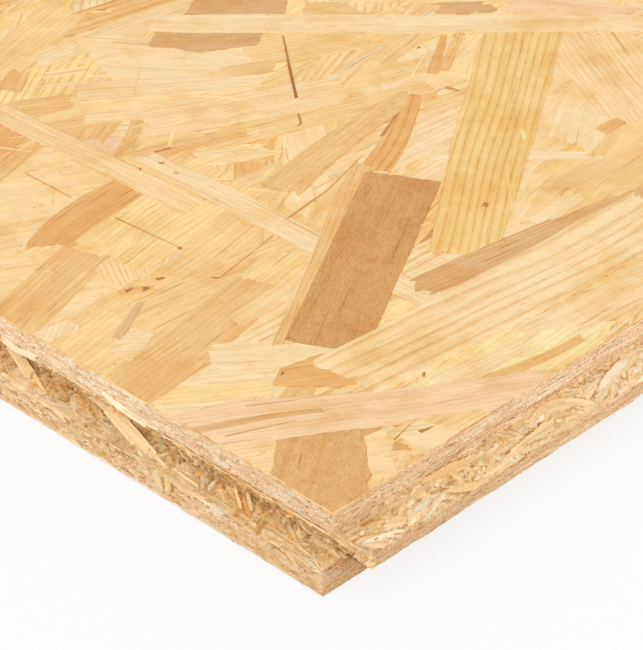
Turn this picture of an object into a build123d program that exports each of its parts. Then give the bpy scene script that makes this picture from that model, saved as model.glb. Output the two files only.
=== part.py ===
from build123d import *
import os

# A panel of oriented strand board with a tongue-and-groove profile on all its edges, lying flat.
# X runs along the panel, Y across it and Z up. The origin is under the middle of the panel, on its underside.
# The long edge at low Y and the short edge at high X carry tongues, and the two other edges are grooved.
# All lengths are in millimetres.

# Overall size, from the nose of each tongue to the lower lip of the groove across from it
overall_length = 2500.0
overall_width = 675.0
thickness = 22.0

# Lips above and below the groove, and shoulders above and below the tongue
upper_lip = 6.6
lower_lip = 7.0

# The lower lip stands out past the upper one, so that laid panels keep this gap between their top faces
surface_gap = 3.0

# Tongue, from its shoulders to its nose
tongue_length = 7.7
tongue_top_fall = 4.0
tongue_bottom_rise = 0.6
nose_radius = 0.5

# Room around a tongue in its groove: above and below it, and past its nose
face_clearance = 0.1
nose_clearance = 0.3

# Sizes that follow from those above
taper_length = tongue_length - surface_gap
top_slope = tongue_top_fall / taper_length
bottom_slope = tongue_bottom_rise / tongue_length
groove_depth = tongue_length + nose_clearance


def tongue_outline():
    """Points of the tongue edge, from the top of its upper shoulder to the foot of its lower one.

    The nose is at x = 0. The root runs straight for the length of the surface gap and then tapers.
    """
    root_top = thickness - upper_lip - face_clearance
    root_bottom = lower_lip + face_clearance
    return [
        (tongue_length, thickness),
        (tongue_length, root_top),
        (taper_length, root_top),
        (0.0, root_top - tongue_top_fall),
        (0.0, root_bottom + tongue_bottom_rise),
        (tongue_length, root_bottom),
        (tongue_length, 0.0),
    ]


def groove_outline(face):
    """Points of the groove edge, from the foot of its lower lip to the top of its upper lip.

    face is the x of the lower lip's face. The groove's flanks run parallel to those of the tongue.
    """
    mouth_top = thickness - upper_lip
    back = face - groove_depth
    return [
        (face, 0.0),
        (face, lower_lip),
        (back, lower_lip + bottom_slope * groove_depth),
        (back, mouth_top - top_slope * (groove_depth - surface_gap)),
        (face - surface_gap, mouth_top),
        (face - surface_gap, thickness),
    ]


def section(across):
    """Cross-section of a panel that measures across from nose to lower lip, with its nose eased."""
    outline = make_face(Polyline(*tongue_outline(), *groove_outline(across), close=True))
    nose_corners = outline.vertices().group_by(Axis.X)[0]
    return fillet(nose_corners, nose_radius)


def milled_lengthwise():
    """Bar with the profile of the long edges, its tongue at low Y."""
    start = Plane(
        origin=(-overall_length / 2, -overall_width / 2, 0), x_dir=(0, 1, 0), z_dir=(1, 0, 0)
    )
    return extrude(start * section(overall_width), overall_length)


def milled_crosswise():
    """Bar with the profile of the short edges, its tongue at high X."""
    start = Plane(
        origin=(overall_length / 2, -overall_width / 2, 0), x_dir=(-1, 0, 0), z_dir=(0, 1, 0)
    )
    return extrude(start * section(overall_length), overall_width)


# Each edge is milled right through, so where a groove crosses a tongue it cuts the tongue's end away
osb_panel = milled_lengthwise() & milled_crosswise()
osb_panel.label = "osb_panel"

os.makedirs("parts", exist_ok=True)
export_step(osb_panel, "parts/osb_panel.step")
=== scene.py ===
"""Looks of a tongue-and-groove panel of oriented strand board, lying flat on a white table.

Every length here is in millimetres until a mesh, a lamp or the camera is made, where MM turns it into
metres. Places on the top face are measured from the corner of it that the camera looks at: first along the
long edge, then across the panel.
"""

import math
from collections import namedtuple

import bpy
import numpy as np
from mathutils import Matrix, Vector, noise


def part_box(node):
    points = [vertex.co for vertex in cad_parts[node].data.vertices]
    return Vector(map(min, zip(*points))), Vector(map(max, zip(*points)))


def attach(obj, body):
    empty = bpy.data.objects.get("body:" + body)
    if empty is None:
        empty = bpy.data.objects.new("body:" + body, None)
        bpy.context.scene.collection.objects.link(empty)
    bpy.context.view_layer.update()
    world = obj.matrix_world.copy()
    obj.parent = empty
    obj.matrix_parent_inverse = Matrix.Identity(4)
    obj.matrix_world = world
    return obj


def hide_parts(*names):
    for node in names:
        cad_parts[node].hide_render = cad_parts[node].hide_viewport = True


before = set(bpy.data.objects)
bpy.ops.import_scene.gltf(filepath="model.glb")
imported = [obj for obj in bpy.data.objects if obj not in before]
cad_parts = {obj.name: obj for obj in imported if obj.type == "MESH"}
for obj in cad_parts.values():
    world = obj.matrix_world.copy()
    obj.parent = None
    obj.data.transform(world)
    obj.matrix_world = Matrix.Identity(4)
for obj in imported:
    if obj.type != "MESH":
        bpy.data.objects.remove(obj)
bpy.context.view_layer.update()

MM = 0.001
PANEL = "osb_panel"

# Overall size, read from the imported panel
PANEL_LOW, PANEL_HIGH = (np.array(corner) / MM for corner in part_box(PANEL))
THICKNESS = PANEL_HIGH[2] - PANEL_LOW[2]

# The milled profile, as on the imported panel
UPPER_LIP = 6.6
LOWER_LIP = 7.0
SURFACE_GAP = 3.0
TONGUE_LENGTH = 7.7
TONGUE_TOP_FALL = 4.0
TONGUE_BOTTOM_RISE = 0.6
FACE_CLEARANCE = 0.1
NOSE_CLEARANCE = 0.3
FLAT_RISE = 0.1
TAPER_LENGTH = TONGUE_LENGTH - SURFACE_GAP
GROOVE_DEPTH = TONGUE_LENGTH + NOSE_CLEARANCE
GROOVE_TOP = THICKNESS - UPPER_LIP
NOSE_BOTTOM = LOWER_LIP + FACE_CLEARANCE + TONGUE_BOTTOM_RISE
SHOULDER_BOTTOM = GROOVE_TOP - FACE_CLEARANCE
NOSE_TOP = SHOULDER_BOTTOM - TONGUE_TOP_FALL
GROOVE_BACK_TOP = GROOVE_TOP - (GROOVE_DEPTH - SURFACE_GAP) * TONGUE_TOP_FALL / TAPER_LENGTH
GROOVE_BACK_BOTTOM = LOWER_LIP + GROOVE_DEPTH * TONGUE_BOTTOM_RISE / TONGUE_LENGTH

# Heights over the table, and how far in from the overall box each kind of edge lies there
PROFILES = {
    "tongue": (
        (0, LOWER_LIP + FACE_CLEARANCE, NOSE_BOTTOM, NOSE_TOP, SHOULDER_BOTTOM - FLAT_RISE, SHOULDER_BOTTOM),
        (TONGUE_LENGTH, TONGUE_LENGTH, 0, 0, TAPER_LENGTH, TONGUE_LENGTH),
    ),
    "groove": (
        (0, LOWER_LIP, GROOVE_BACK_BOTTOM, GROOVE_BACK_TOP, GROOVE_TOP),
        (0, 0, GROOVE_DEPTH, GROOVE_DEPTH, SURFACE_GAP),
    ),
}

# The top face and the underside. The low corner of the top face is the photographed one.
TOP_LOW = PANEL_LOW[:2] + (SURFACE_GAP, TONGUE_LENGTH)
TOP_HIGH = PANEL_HIGH[:2] - (TONGUE_LENGTH, SURFACE_GAP)
UNDER_LOW = PANEL_LOW[:2] + (0, TONGUE_LENGTH)
UNDER_HIGH = PANEL_HIGH[:2] - (TONGUE_LENGTH, 0)

# The pressed strands lie this deep in both faces
SKIN = 0.45
NEAR_REACH = 250.0
SEED = 20


def linear(red, green, blue):
    """A colour in the 0 to 255 steps of a picture, as the shaders take it."""
    steps = np.array([red, green, blue]) / 255
    return np.where(steps <= 0.04045, steps / 12.92, ((steps + 0.055) / 1.055) ** 2.4)


TONES = {
    "white": linear(255, 237, 201),
    "cream": linear(252, 222, 172),
    "pale": linear(252, 217, 163),
    "straw": linear(251, 211, 149),
    "yellow": linear(255, 222, 158),
    "sunny": linear(255, 234, 174),
    "honey": linear(244, 198, 134),
    "amber": linear(239, 184, 112),
    "rose": linear(250, 212, 167),
    "tan": linear(230, 180, 124),
    "umber": linear(222, 167, 104),
    "golden": linear(248, 208, 134),
    "cut_light": linear(255, 239, 209),
    "cut": linear(255, 227, 185),
    "cut_rose": linear(254, 215, 175),
    "cut_warm": linear(251, 208, 151),
    "cut_grey": linear(236, 198, 154),
    # The next tone also colours painted shadow under strand edges
    "line": linear(216, 158, 96),
    "resin": linear(200, 138, 74),
    # The next tone colours a painted shadow in a gap between strands
    "slit_shadow": linear(180, 110, 56),
    "knot": linear(174, 124, 74),
    "russet": linear(235, 183, 122),
}

# The tones of strands that the cut edges go through
CUT_TONES = ("cut", "cut_rose", "cut_light", "cut_grey", "cut_warm", "cut", "cut_rose", "cut_light")

# How a strand is figured: strength of its year rings, their spacing, and strength of its pores
PLAIN = (0.15, 3.0, 0.15)
RINGED = (1.0, 2.3, 0.1)
SOFT_RINGED = (0.8, 3.6, 0.2)
FINE_RINGED = (0.8, 1.3, 0.1)
STREAKED = (0.5, 1.7, 0.3)
PORED = (0.1, 4.0, 1.0)
TORN = (0.3, 0.9, 0.6)


def add_node(tree, kind, settings=None, **inputs):
    """A shader node with its settings and inputs. An input is a value or another node's output."""
    made = tree.nodes.new(kind)
    for name, value in (settings or {}).items():
        setattr(made, name, value)
    for name, value in inputs.items():
        socket = made.inputs[int(name[1:])] if name[0] == "i" and name[1:].isdigit() else made.inputs[name]
        if isinstance(value, bpy.types.NodeSocket):
            tree.links.new(value, socket)
        else:
            socket.default_value = value
    return made


# How high the fibres stand over the pores in the shading
RELIEF = 0.06
# A strand that is cut through shows as a lens of about 30 x 6 x 0.8 mm
LENS_SHARE = (1 / 30, 1 / 6, 1 / 0.8)


def tint(red, green, blue):
    return (red, green, blue, 1.0)


class Shading:
    """A material under construction, with the few kinds of node that the wood needs."""

    def __init__(self, name):
        self.material = bpy.data.materials.new(name)
        self.material.use_nodes = True
        self.tree = self.material.node_tree
        self.tree.nodes.clear()

    def math(self, operation, first, second=0.0, clamp=False):
        settings = {"operation": operation, "use_clamp": clamp}
        return add_node(self.tree, "ShaderNodeMath", settings, i0=first, i1=second).outputs[0]

    def times(self, first, second):
        return self.math("MULTIPLY", first, second)

    def plus(self, first, second):
        return self.math("ADD", first, second)

    def minus(self, first, second, clamp=False):
        return self.math("SUBTRACT", first, second, clamp)

    def vector_math(self, operation, first, second):
        settings = {"operation": operation}
        return add_node(self.tree, "ShaderNodeVectorMath", settings, i0=first, i1=second).outputs[0]

    def scale(self, vector, factors):
        return self.vector_math("MULTIPLY", vector, factors)

    def shift(self, vector, steps):
        return self.vector_math("ADD", vector, steps)

    def split(self, vector):
        return add_node(self.tree, "ShaderNodeSeparateXYZ", None, i0=vector).outputs

    def join(self, x, y, z):
        return add_node(self.tree, "ShaderNodeCombineXYZ", None, i0=x, i1=y, i2=z).outputs[0]

    def place(self):
        """Where a point of the surface is, in millimetres."""
        return self.scale(add_node(self.tree, "ShaderNodeTexCoord").outputs["Object"], (1 / MM,) * 3)

    def noise(self, vector, factors, detail=2.0, roughness=0.5):
        """Smooth noise, with its usual range stretched to run from 0 to 1."""
        scaled = self.scale(vector, factors)
        values = {"Vector": scaled, "Scale": 1.0, "Detail": detail, "Roughness": roughness}
        return self.ramp(add_node(self.tree, "ShaderNodeTexNoise", None, **values).outputs["Fac"], 0.3, 0.7)

    def ramp(self, value, low, high, first=0.0, last=1.0, smooth=False):
        settings = {"interpolation_type": "SMOOTHSTEP" if smooth else "LINEAR"}
        ends = {"i1": low, "i2": high, "i3": first, "i4": last}
        return add_node(self.tree, "ShaderNodeMapRange", settings, i0=value, **ends).outputs[0]

    def mix(self, share, first, second):
        settings = {"data_type": "RGBA", "blend_type": "MIX"}
        return add_node(self.tree, "ShaderNodeMix", settings, i0=share, i6=first, i7=second).outputs[2]

    def dim(self, colour, shade):
        return self.scale(colour, self.join(shade, shade, shade))

    def stain(self, colour, share, factors):
        """A colour drawn by a share towards itself times the factors."""
        return self.mix(share, colour, self.scale(colour, factors))

    def attribute(self, name):
        return add_node(self.tree, "ShaderNodeAttribute", {"attribute_name": name}).outputs

    def finish(self, colour, roughness, height):
        """Ends the material in a matt surface with a low relief."""
        bump = add_node(self.tree, "ShaderNodeBump", None, Strength=1.0, Distance=RELIEF * MM, Height=height)
        shader = add_node(self.tree, "ShaderNodeBsdfPrincipled", None, **{
            "Base Color": colour,
            "Roughness": roughness,
            "Normal": bump.outputs[0],
            "Specular IOR Level": 0.3,
        })
        output = add_node(self.tree, "ShaderNodeOutputMaterial")
        self.tree.links.new(shader.outputs[0], output.inputs[0])
        return self.material


def strand_material():
    """Wood of one strand. Its mesh says which way the grain runs, its tone, its figure and its painted
    shade.
    """
    wood = Shading("strand_wood")
    place = wood.place()
    ring_strength, ring_spacing, pore_strength = wood.split(wood.attribute("figure")["Vector"])
    along, across, seed = wood.split(wood.attribute("grain")["Vector"])
    arc = wood.times(wood.times(along, along), wood.attribute("bend")["Fac"])
    across = wood.minus(across, arc)
    swerve = wood.noise(wood.join(along, across, seed), (0.022, 0.05, 1.0))
    freedom = wood.ramp(ring_strength, 0, 1, 1.5, 0.25)
    across = wood.plus(across, wood.times(wood.ramp(swerve, 0, 1, -1.0, 1.0), freedom))
    grain = wood.join(along, across, seed)

    fibres = wood.noise(grain, (0.12, 3.0, 1.0), detail=4.0, roughness=0.75)
    bands = wood.noise(grain, (0.022, 0.33, 1.0), detail=5.0, roughness=0.65)
    clouds = wood.noise(grain, (0.06, 0.14, 1.0), detail=4.0, roughness=0.6)
    shade = wood.times(wood.ramp(fibres, 0, 1, 0.91, 1.06), wood.ramp(bands, 0, 1, 0.95, 1.04))
    colour = wood.dim(wood.attribute("tone")["Color"], shade)
    light = wood.mix(0.5, colour, tint(*TONES["white"]))
    colour = wood.stain(colour, wood.ramp(bands, 0.0, 0.5, 0.65, 0.0), (0.98, 0.86, 0.67))
    sound = wood.minus(1.0, pore_strength, clamp=True)
    paler = wood.plus(wood.ramp(bands, 0.6, 1.0, 0.0, 0.4), wood.ramp(clouds, 0.5, 1.0, 0.0, 0.4))
    colour = wood.mix(wood.times(paler, sound), colour, light)

    wobble = wood.noise(grain, (0.012, 0.06, 1.0), detail=1.0)
    phase = wood.plus(wood.math("DIVIDE", across, ring_spacing), wood.ramp(wobble, 0, 1, -0.5, 0.5))
    tooth = wood.math("FRACT", phase)
    late = wood.times(wood.ramp(tooth, 0.5, 0.9, smooth=True), wood.ramp(tooth, 0.9, 1.0, 1.0, 0.0))
    beads = wood.noise(grain, (0.3, 0.8, 1.0), detail=3.0, roughness=0.6)
    late = wood.times(wood.times(late, ring_strength), wood.ramp(beads, 0, 1, 0.3, 1.0))
    colour = wood.stain(colour, late, (0.86, 0.63, 0.34))

    dashes = wood.noise(grain, (0.7, 5.0, 1.0), detail=3.0)
    pores = wood.times(wood.ramp(dashes, 0.55, 1.0), pore_strength)
    colour = wood.stain(colour, wood.times(pores, 0.5), (0.74, 0.58, 0.44))
    stains = wood.noise(place, (0.06, 0.06, 0.3), detail=6.0, roughness=0.68)
    colour = wood.stain(colour, wood.ramp(stains, 0.4, 1.05), (0.93, 0.78, 0.54))
    flecks = wood.noise(wood.shift(grain, (0, 0, 7.7)), (0.3, 1.1, 1.0), detail=3.0)
    colour = wood.stain(colour, wood.ramp(flecks, 0.93, 1.1), (0.84, 0.58, 0.34))
    dots = wood.times(wood.noise(place, (1.3, 1.3, 1.3)), wood.noise(place, (0.1, 0.1, 0.1)))
    colour = wood.stain(colour, wood.ramp(dots, 0.72, 0.9, 0.0, 0.7), (0.80, 0.56, 0.32))
    # Painted shade in thin slits along the grain; the relief sinks them too
    shaded_slits = wood.ramp(wood.noise(wood.shift(grain, (0, 0, 3.3)), (0.04, 1.4, 1.0)), 0.92, 1.02, 0.0, 0.7)
    colour = wood.stain(colour, shaded_slits, (0.72, 0.48, 0.28))

    # Painted shade along each strand's rim, broken up by noise
    rim_shade_breaks = wood.noise(place, (0.4, 0.4, 0.4), detail=3.0)
    edge = wood.times(wood.attribute("rim")["Fac"], wood.ramp(rim_shade_breaks, 0.35, 0.9, 0.1, 0.9))
    colour = wood.stain(colour, edge, (0.69, 0.47, 0.26))
    # Painted shade in the clefts between torn flakes, broken up by noise
    broken = wood.ramp(wood.noise(place, (1.1, 1.1, 1.1), detail=3.0), 0.15, 0.55, 0.4, 1.0)
    cleft = wood.times(wood.attribute("cleft")["Fac"], broken)
    colour = wood.stain(colour, cleft, (0.63, 0.42, 0.20))

    ripples = wood.noise(place, (0.25, 0.25, 0.25), detail=3.0)
    height = wood.plus(wood.times(fibres, 0.5), wood.times(late, 0.3))
    height = wood.plus(height, wood.times(ripples, 3.0))
    height = wood.minus(height, wood.plus(pores, shaded_slits))
    return wood.finish(colour, wood.ramp(fibres, 0, 1, 0.62, 0.5), height)


def cut_material():
    """The board cut through: pores and thin lenses across the grain, and fine layers along it."""
    board = Shading("cut_strands")
    place = board.place()
    waves = board.noise(place, (0.03, 0.05, 0.12))
    wavy = board.shift(place, board.join(0.0, 0.0, board.ramp(waves, 0, 1, -0.8, 0.8)))
    cells = board.scale(wavy, LENS_SHARE)
    lens, gap = (
        add_node(board.tree, "ShaderNodeTexVoronoi", {"feature": feature}, Vector=cells, Scale=1.0).outputs
        for feature in ("F1", "DISTANCE_TO_EDGE"))
    pick, light = board.split(lens["Color"])[:2]

    ramp = add_node(board.tree, "ShaderNodeValToRGB", None, Fac=pick)
    ramp.color_ramp.interpolation = "CONSTANT"
    stops = ramp.color_ramp.elements
    for number, name in enumerate(CUT_TONES):
        stop = stops[number] if number < 2 else stops.new(number / len(CUT_TONES))
        stop.position = number / len(CUT_TONES)
        stop.color = tint(*TONES[name])
    colour = board.mix(0.3, ramp.outputs["Color"], tint(*TONES["cut"]))

    coarse = board.ramp(board.noise(wavy, (0.008, 0.03, 0.4)), 0.25, 0.8, 0.65, 1.0)
    grit = board.noise(place, (1.6, 2.2, 2.6), detail=3.0, roughness=0.8)
    lines = board.noise(wavy, (0.05, 0.6, 2.6), detail=4.0, roughness=0.65)
    shade = board.times(board.ramp(light, 0, 1, 0.94, 1.03), board.ramp(lines, 0, 1, 0.93, 1.05))
    colour = board.dim(colour, shade)
    grains = board.times(board.ramp(grit, 0.1, 0.52, 1.0, 0.0), coarse)
    colour = board.stain(colour, grains, (0.70, 0.52, 0.33))
    colour = board.mix(board.ramp(grit, 0.65, 1.0, 0.0, 0.6), colour, tint(*TONES["cut_light"]))
    colour = board.stain(colour, board.ramp(lines, 0.0, 0.4, 0.8, 0.0), (0.92, 0.75, 0.52))
    pale_lines = board.noise(board.shift(wavy, (0, 0, 40.0)), (0.06, 0.25, 1.7), detail=3.0)
    colour = board.mix(board.ramp(pale_lines, 0.68, 0.85, 0.0, 0.8), colour, tint(*TONES["cut_light"]))

    seam = board.times(board.ramp(gap["Distance"], 0.0, 0.06, 0.6, 0.0), board.ramp(grit, 0.2, 0.9))
    colour = board.stain(colour, seam, (0.66, 0.44, 0.26))
    specks = board.ramp(board.noise(wavy, (0.24, 0.7, 1.9), detail=4.0, roughness=0.7), 0.73, 0.89)
    colour = board.stain(colour, specks, (0.55, 0.34, 0.17))
    pores = board.ramp(board.noise(place, (1.2, 3.6, 3.6)), 0.72, 0.9, 0.0, 0.9)
    colour = board.stain(colour, pores, (0.72, 0.50, 0.30))
    # Painted shade in the groove and under the tongue, and a darkening by the corner
    colour = board.stain(colour, board.attribute("painted_shade_and_darkening")["Fac"], (0.70, 0.58, 0.44))

    height = board.minus(board.plus(grit, lines), board.plus(specks, pores))
    return board.finish(colour, 0.7, height)


def add_object(name, data):
    """An object in the scene, made of a mesh, a lamp or a camera."""
    made = bpy.data.objects.new(name, data)
    bpy.context.scene.collection.objects.link(made)
    return made


def set_map(mesh, places):
    """Gives a mesh its texture map, with a place for each corner of each face."""
    mesh.uv_layers.new(name="OFBake").data.foreach_set("uv", np.array(places, np.float32).ravel())


# What each point of a strand carries: its place along and across the grain with the strand's own number,
# its tone, its figure, its painted shade for lying near the strand's rim, its painted shade for lying deep
# in a cleft, and the bend of the grain
POINT_FIELDS = (
    ("grain", "FLOAT_VECTOR", "vector", 3),
    ("tone", "FLOAT_COLOR", "color", 4),
    ("figure", "FLOAT_VECTOR", "vector", 3),
    ("rim", "FLOAT", "value", 1),
    ("cleft", "FLOAT", "value", 1),
    ("bend", "FLOAT", "value", 1),
)


# Room round each patch of a texture map, and the size of a hidden face in it as a share of its true size
PATCH_MARGIN = 1.6
HIDDEN_SHARE = 0.001


class Pile:
    """Small closed solids joined into one mesh, each with its own patch of the texture map."""

    def __init__(self):
        self.points = []
        self.values = {name: [] for name, kind, field, width in POINT_FIELDS}
        self.faces = []
        self.hidden = []
        self.flat = []
        self.patches = []
        self.owners = []
        self.count = 0

    def add(self, points, faces, hidden_faces, flat, density, tone, **values):
        """Takes one solid. flat has its points laid out in the plane, density is how fine its patch is, and
        values has the other POINT_FIELDS of its points, apart from those that are 0."""
        size = len(points)
        start = self.count
        self.points.append(points)
        values["tone"] = np.column_stack((np.broadcast_to(tone, (size, 3)), np.ones(size)))
        for name, kind, field, width in POINT_FIELDS:
            shape = (size, width) if width > 1 else (size,)
            self.values[name].append(np.broadcast_to(values.get(name, 0.0), shape))
        self.faces += [tuple(start + corner for corner in face) for face in faces + hidden_faces]
        self.hidden += [False] * len(faces) + [True] * len(hidden_faces)
        low = flat.min(0)
        self.flat.append((flat - low) * density)
        self.patches.append(tuple((flat.max(0) - low) * density + PATCH_MARGIN))
        self.owners.append(np.full(size, len(self.patches) - 1))
        self.count += size

    def make(self, name, material):
        """Makes the Blender object."""
        mesh = bpy.data.meshes.new(name)
        mesh.from_pydata(np.concatenate(self.points) * MM, [], self.faces)
        for key, kind, field, width in POINT_FIELDS:
            values = np.concatenate(self.values[key]).astype(np.float32).ravel()
            mesh.attributes.new(key, kind, "POINT").data.foreach_set(field, values)
        spots, side = shelve(self.patches)
        place = np.array(spots)[np.concatenate(self.owners)] + np.concatenate(self.flat) + PATCH_MARGIN / 2
        corners = np.zeros(len(mesh.loops), np.int32)
        mesh.loops.foreach_get("vertex_index", corners)
        lengths = [len(face) for face in self.faces]
        unseen = np.repeat(self.hidden, lengths)
        spread = place[corners] / side
        spread[unseen] *= HIDDEN_SHARE
        set_map(mesh, spread)
        mesh.materials.append(material)
        made = add_object(name, mesh)
        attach(made, "root")


def ring_faces(rings, size):
    """Faces between rings of points that follow each other, all of one size."""
    faces = []
    for low in range(0, (rings - 1) * size, size):
        for corner in range(size):
            following = (corner + 1) % size
            faces.append((low + corner, low + following, low + size + following, low + size + corner))
    return faces


def shelve(sizes):
    """Sets patches on shelves in a square map. Gives each one's low corner and the square's side."""
    order = sorted(range(len(sizes)), key=lambda number: -sizes[number][1])
    side = math.sqrt(sum(width * height for width, height in sizes))
    while True:
        side *= 1.01
        spots = [None] * len(sizes)
        reach = floor = shelf = 0
        for number in order:
            width, height = sizes[number]
            if reach + width > side:
                reach = 0
                floor += shelf
                shelf = 0
            spots[number] = (reach, floor)
            reach += width
            shelf = max(shelf, height)
        if floor + shelf <= side:
            return spots, side


def signed_area(outline):
    following = np.roll(outline, -1, axis=0)
    return 0.5 * np.sum(outline[:, 0] * following[:, 1] - outline[:, 1] * following[:, 0])


# A plate's top narrows over this height, and wide bevels alone get painted shade at their rim
BEVEL_DROP = 0.02
RIM_BEVEL = 0.1


def add_plate(pile, outline, origin, along, normal, thickness, tone, figure, seed, bevel, density, bend):
    """Adds a thin plate. Its outline runs along the grain first, and its top is at origin, facing normal.
    The top narrows over the bevel, by a scaling that can't make the outline cross itself."""
    if signed_area(outline) < 0:
        outline = outline[::-1]
    count = len(outline)
    middle = (outline.max(0) + outline.min(0)) / 2
    half = (outline.max(0) - outline.min(0)) / 2
    top = middle + (outline - middle) * np.maximum(1 - bevel / half, 0.5)
    across = np.cross(normal, along)
    flat = np.concatenate((outline, outline, top))
    heights = np.repeat((-thickness, -BEVEL_DROP, 0.0), count)
    points = origin + flat[:, :1] * along + flat[:, 1:] * across + heights[:, None] * normal
    faces = ring_faces(3, count)
    faces.append(tuple(range(2 * count, 3 * count)))
    bottom = [tuple(reversed(range(count)))]
    # Painted shade: darkest on the side walls, fading over the bevel to none on the top
    rim = np.repeat((1.0, 0.6, 0.0), count) * (bevel > RIM_BEVEL)
    grain = np.column_stack((flat, np.full(len(flat), seed)))
    pile.add(points, faces, bottom, flat, density, tone, grain=grain, figure=figure, rim=rim, bend=bend)


def soften(values, rounds=1):
    """Each value drawn towards its neighbours."""
    for number in range(rounds):
        padded = np.concatenate((values[:1], values, values[-1:]))
        values = (padded[:-2] + 2 * padded[1:-1] + padded[2:]) / 4
    return values


def bar_outline(rng, length, width, end_width, bend, rough, ragged, step=3.0, finger=1.0):
    """A strand's outline about its own middle: a bent bar with uneven sides and torn ends."""
    half = length / 2
    count = max(3, int(length / step) + 1)
    side = np.linspace(-half, half, count)
    halves = np.interp(side, (-half, half), (width / 2, end_width / 2))
    halves = halves * (1 - rng.uniform(0, 0.25) * np.abs(side / half) ** 4)
    upper, lower = (
        sign * halves + soften(rng.normal(0, rough, count)) + soften(rng.normal(0, 4 * rough, count), 6)
        for sign in (1, -1))
    points = list(zip(side[::-1], upper[::-1]))
    for end, start_y, stop_y in ((-half, upper[0], lower[0]), (half, lower[-1], upper[-1])):
        steps = max(2, int(abs(start_y - stop_y) / finger))
        slant = rng.normal(0, 0.35)
        waves = np.sin(np.linspace(0, rng.uniform(2, 7), steps + 1) + rng.uniform(0, 6))
        lobes = waves * rng.gamma(2, ragged / 2)
        for number in range(1, steps):
            y = start_y + (stop_y - start_y) * (number + rng.uniform(-0.3, 0.3)) / steps
            splinter = rng.gamma(1.0, ragged * 0.5) * (number % 2)
            points.append((end + slant * y + lobes[number] - math.copysign(splinter, end), y))
        if end < 0:
            points += list(zip(side, lower))
    points = np.array(points)
    points[:, 1] += bend * points[:, 0] ** 2
    return points


def clip(outline, axis, limit, keep_above):
    """The part of an outline on one side of a line across one axis."""
    sign = 1 if keep_above else -1
    depth = sign * (outline[:, axis] - limit)
    if (depth >= 0).all():
        return outline
    kept = []
    for number in range(len(outline)):
        here, there = depth[number], depth[(number + 1) % len(outline)]
        start, stop = outline[number], outline[(number + 1) % len(outline)]
        if here >= 0:
            kept.append(start)
        if (here >= 0) != (there >= 0):
            kept.append(start + (stop - start) * here / (here - there))
    return np.array(kept)


def turned(outline, centre, angle):
    """An outline turned by an angle and moved to its centre."""
    cosine, sine = math.cos(angle), math.sin(angle)
    return outline @ np.array(((cosine, sine), (-sine, cosine))) + centre


# How far short of the panel's edge a strand is cut off, on the top face and on the underside, and the
# smallest area that a strand cut off there still has
TOP_PLAY = (-0.15, 0.15)
UNDER_PLAY = (0.1, 0.5)
SMALLEST_AREA = 0.3
# How far a strand goes down past the skin, and how wide its bevel is close to the camera and elsewhere
ROOT = 0.1
CLOSE_BEVEL = 0.3
PLAIN_BEVEL = 0.05
# How far a strand's light, green and blue stray from its tone, as shares
STRAY = (0.025, 0.012, 0.04)
NEAR_DENSITY = 3.0
# Strands are told apart by a random number up to this one, which sets their figure
MOST_SEED = 300


def lay_strand(pile, rng, outline, middle, angle, depth, tone, figure, bend=0.0, top=True, close=False,
               stray=1.0, density=1.0):
    """Lays a strand on the top face or the underside, cut off at the panel's edges. Its outline is in plan,
    stray is how freely its shade departs from its tone, and density is how fine its patch of the map is."""
    low, high = (TOP_LOW, TOP_HIGH) if top else (UNDER_LOW, UNDER_HIGH)
    for axis in (0, 1):
        for keep_above, limit, inward in ((True, low[axis], 1), (False, high[axis], -1)):
            short = rng.uniform(*(TOP_PLAY if top else UNDER_PLAY))
            if len(outline) > 2:
                outline = clip(outline, axis, limit + short * inward, keep_above)
    if len(outline) < 3 or abs(signed_area(outline)) < SMALLEST_AREA:
        return
    along = np.array((math.cos(angle), math.sin(angle), 0.0))
    normal = np.array((0, 0, 1.0 if top else -1.0))
    across = np.cross(normal, along)
    local = np.stack(((outline - middle) @ along[:2], (outline - middle) @ across[:2]), axis=1)
    origin = np.array((*middle, THICKNESS - depth if top else depth))
    light, green, blue = 1 + stray * rng.normal(0, STRAY)
    shade = np.clip(tone * light * (1, green, blue), 0, 1)
    density *= NEAR_DENSITY if top and (outline.mean(0) < TOP_LOW + NEAR_REACH).all() else 1.0
    thickness = SKIN + ROOT - depth
    seed = rng.uniform(0, MOST_SEED)
    bevel = CLOSE_BEVEL if close else PLAIN_BEVEL
    bend = bend if top else -bend
    add_plate(pile, local, origin, along, normal, thickness, shade, figure, seed, bevel, density, bend)


COMMON_TONES = (
    ("cream", 0.17), ("pale", 0.22), ("straw", 0.22), ("yellow", 0.12), ("honey", 0.14),
    ("rose", 0.04), ("tan", 0.03), ("umber", 0.03), ("amber", 0.03),
)
LIGHT_TONES = ("cream", "pale", "straw", "yellow")
FIGURES = (PLAIN, RINGED, FINE_RINGED, STREAKED)


def random_look(rng, light=False):
    """A seeded choice of tone and figure."""
    names, shares = zip(*COMMON_TONES)
    name = LIGHT_TONES[rng.integers(len(LIGHT_TONES))] if light else rng.choice(names, p=shares)
    figure = PORED if name in ("tan", "umber") else FIGURES[rng.choice(4, p=(0.45, 0.2, 0.1, 0.25))]
    return TONES[name], figure


def strip_of(strips, centre, low, high):
    """Which of the lengthwise strips a place falls into."""
    share = (centre[1] - low[1]) / (high[1] - low[1])
    return strips[int(np.clip(share * len(strips), 0, len(strips) - 1))]


# Strands away from the corner: a middle and a spread of their length and of the logarithm of their width,
# the limits of both, the spread of their turn in radians, and the depth that none of them lies below
FAR_LENGTH = (85, 24)
FAR_LENGTH_LIMITS = (38, 130)
FAR_WIDTH = (2.7, 0.3)
FAR_WIDTH_LIMITS = (7, 27)
TURN = 0.42
DEEPEST = SKIN - 0.08
TOP_CELL = np.array((42.0, 15.0))
UNDER_CELL = np.array((50.0, 17.0))
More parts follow.
